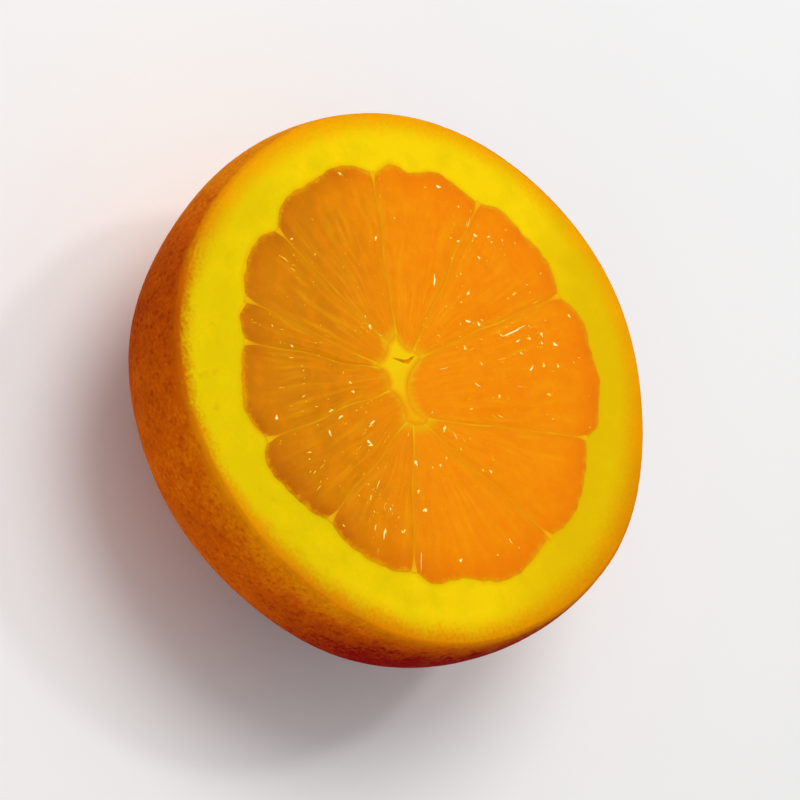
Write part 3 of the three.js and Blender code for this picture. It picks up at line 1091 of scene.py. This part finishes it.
pulp_material = make_pulp_material()
sac_growth = make_sac_growth()
for index in range(len(MEMBRANES)):
    segment = make_segment_mesh(index)
    sac_growth.grow_on(segment, pulp_material)
    fix(segment)


# ---- Juice ----
# Small beads and dashes of juice stand on the wet pulp, in clusters along the sacs, and
# thickest in a few places where the knife squeezed it. Each is two flat drops that have run
# together, a large and a small one, sunk to half its height. On the crests of some of the
# larger ones a highlight is painted.

# Places where beads crowd: distance to +X and +Y of the fruit's axis, radius, crowding
WET_PLACES = [
    (12.5, -16.5, 3.5, 1.6), (3, -13.5, 3.5, 0.7), (-3, -18, 6, 0.4),
    (5.5, 14, 5, 0.4), (-14, 20, 6, 0.45), (-3, 10, 6, 0.4),
    (10, -1, 4, 0.4), (-22, -11.5, 2.5, 0.5), (-15, -20.5, 3, 0.5),
    (4, 18.5, 3.5, 1.3),
]
BARE_CROWDING = 0.08
DRY_AT_PITH = 0.6
JUICE_PITCH = 0.45
RAYS_OF_BEADS = 190
CROWD_ON_RAYS = 3
CROWD_OFF_CLUSTERS = 0.35


def make_wet_face():
    """A coarse copy of the pulp's face, with how crowded beads are and which way dashes lie."""
    points, faces, to_pith = [], [], []
    for index in range(len(MEMBRANES)):
        place, top, marks, _ = segment_face(index, JUICE_PITCH)
        faces.append(top + sum(len(block) for block in points))
        points.append(place)
        to_pith.append(marks["to_pith"])
    points = np.concatenate(points)
    from_axis = points[:, :2] - (AXIS_X, AXIS_Y)
    crowding = np.full(len(points), BARE_CROWDING)
    for x, y, radius, share in WET_PLACES:
        crowding += share * np.exp(-((from_axis - (x, y)) ** 2).sum(1) / radius ** 2)
    bearing = np.arctan2(from_axis[:, 1], from_axis[:, 0])
    reach = np.linalg.norm(from_axis, axis=1)
    ray = np.sin(RAYS_OF_BEADS / 2 * bearing + 3 * np.sin(7 * bearing) + 0.25 * reach)
    cluster = np.sin(2.1 * reach + 4 * np.sin(11 * bearing))
    wet = np.clip(np.concatenate(to_pith) - DRY_AT_PITH, 0, 1)
    crowding *= wet * CROWD_ON_RAYS * np.clip(ray, 0, 1) ** 2
    crowding *= CROWD_OFF_CLUSTERS + np.clip(cluster, 0, 1)
    marks = dict(crowding=crowding, bearing=bearing)
    return make_piece("juice", points, np.concatenate(faces), marks)


def make_juice_growth():
    """Beads scattered over the wet face, and dashes that lie along the sacs."""
    growth = Growth("juice_beads", beads_per_area=1.7 / MM ** 2, smallest=0.08 * MM,
                    largest=0.32 * MM, height=0.25, seed=7)
    tree = growth.tree
    seed = growth["seed"]

    def draw(low, high, number):
        values = {2: low, 3: high, "Seed": seed + number}
        return tree.add("FunctionNodeRandomValue", None, values)

    density = named(tree, "crowding") * growth["beads_per_area"]
    spots = tree.add("GeometryNodeDistributePointsOnFaces", None, {
        "Mesh": growth["Geometry"], "Density": density, "Seed": seed}).out("Points")
    ball = tree.add("GeometryNodeMeshUVSphere", None, {"Segments": 6, "Rings": 4, "Radius": 1})
    ball = ball.out("Mesh")
    beside = tree.add("GeometryNodeTransform", None, {
        "Geometry": ball, "Translation": (0.9, 0.7, 0), "Scale": (0.6, 0.55, 0.8)})
    join = tree.add("GeometryNodeJoinGeometry")
    for part in (ball, beside):
        tree.feed(join.node, {"Geometry": part})
    smooth = tree.add("GeometryNodeSetShadeSmooth", None, {"Geometry": join})
    above = tree.part(tree.add("GeometryNodeInputPosition"), "Z")
    bead = growth.store(smooth, "crest", above)

    # How much painted highlight each bead carries, most of it on the few large ones
    large = draw(0, 1, 1).math("POWER", 5)
    spots = growth.store(spots, "painted_glint", large * draw(0.3, 1.2, 7) + draw(-0.1, 0.15, 6))
    radius = growth["smallest"] + (growth["largest"] - growth["smallest"]) * large
    dash = 1 + 6 * draw(0, 1, 2).math("POWER", 8)
    size = tree.add("ShaderNodeCombineXYZ", None, {
        "X": radius * dash,
        "Y": radius * draw(0.6, 1, 5) * dash.math("POWER", -0.35),
        "Z": radius * (growth["height"] * draw(0.7, 1.5, 3))})
    # Long dashes lie along the sacs, round beads lie any way
    turn = named(tree, "bearing") + draw(-3, 3, 4) * (1 - dash.smooth(1, 2))
    turn = tree.add("ShaderNodeCombineXYZ", None, {"Z": turn})
    growth.end(tree.add("GeometryNodeInstanceOnPoints", None, {
        "Points": spots, "Instance": bead, "Scale": size, "Rotation": turn}))
    return growth


JUICE_YELLOW = (1, 0.60, 0.003, 1)
# The colour of a painted highlight
JUICE_PAINTED_GLINT = (1, 0.95, 0.42, 1)
JUICE_SHEEN = (1, 0.7, 0.1, 1)


def make_juice_material():
    """Clear yellow juice, with a painted highlight on the crest of some of the larger beads."""
    material, tree, shader = new_material("juice")
    painted_glint_share = mark(tree, "painted_glint") * mark(tree, "crest").smooth(0.2, 1) * 1.5
    tree.feed(shader, {
        "Base Color": tree.mix(painted_glint_share, JUICE_YELLOW, JUICE_PAINTED_GLINT),
        "Roughness": 0.12 + 0.1 * tree.noise(tree.place(), 700),
        "Specular IOR Level": 0.1,
        "Specular Tint": JUICE_SHEEN,
    })
    return material


juice = make_wet_face()
make_juice_growth().grow_on(juice, make_juice_material())
fix(juice)


# ---- Floor and light ----
# A plain pale floor, a key light and a broad soft light from above the picture, a weak fill
# from below it, an even sky, and a small lamp that the beads of juice mirror.

FLOOR_SIZE = 3
FLOOR_COLOUR = (0.93, 0.93, 0.93, 1)
SKY_STRENGTH = 0.42


def make_floor():
    """A flat square in metres. It is stage, not part of the orange."""
    half = FLOOR_SIZE / 2
    mesh = bpy.data.meshes.new("floor")
    corners = [(-half, -half, 0), (half, -half, 0), (half, half, 0), (-half, half, 0)]
    mesh.from_pydata(corners, [], [(0, 1, 2, 3)])
    material, tree, shader = new_material("floor")
    tree.feed(shader, {"Base Color": FLOOR_COLOUR, "Roughness": 0.9})
    mesh.materials.append(material)
    new_object("floor", mesh)


def make_light(name, seen_toward, distance, size, power):
    """A round white lamp at a distance in metres, in a direction given in picture axes."""
    data = bpy.data.lights.new(name, "AREA")
    data.shape = "DISK"
    data.size = size
    data.energy = power
    lamp = new_object(name, data)
    right, up, back = seen_toward
    direction = (view_right * right + view_up * up + view_back * back).normalized()
    target = Vector((0, 0, CUT_HEIGHT * MM))
    lamp.location = target + direction * distance
    lamp.rotation_euler = direction.to_track_quat("Z", "Y").to_euler()


make_floor()
make_light("key", (0.42, 0.60, 0.68), 0.65, 0.35, 1.65)
make_light("soft", (0.42, 0.60, 0.68), 0.9, 0.9, 0.95)
make_light("fill", (-0.30, -0.60, 0.75), 0.8, 0.5, 0.55)
make_light("glint", (0.80, 0.46, 0.42), 0.7, 0.08, 0.6)

world = bpy.data.worlds.new("sky")
world.use_nodes = True
sky = {"Color": (1, 1, 1, 1), "Strength": SKY_STRENGTH}
Tree(world.node_tree).feed(world.node_tree.nodes["Background"], sky)
bpy.context.scene.world = world
bpy.context.scene.view_settings.view_transform = "Standard"
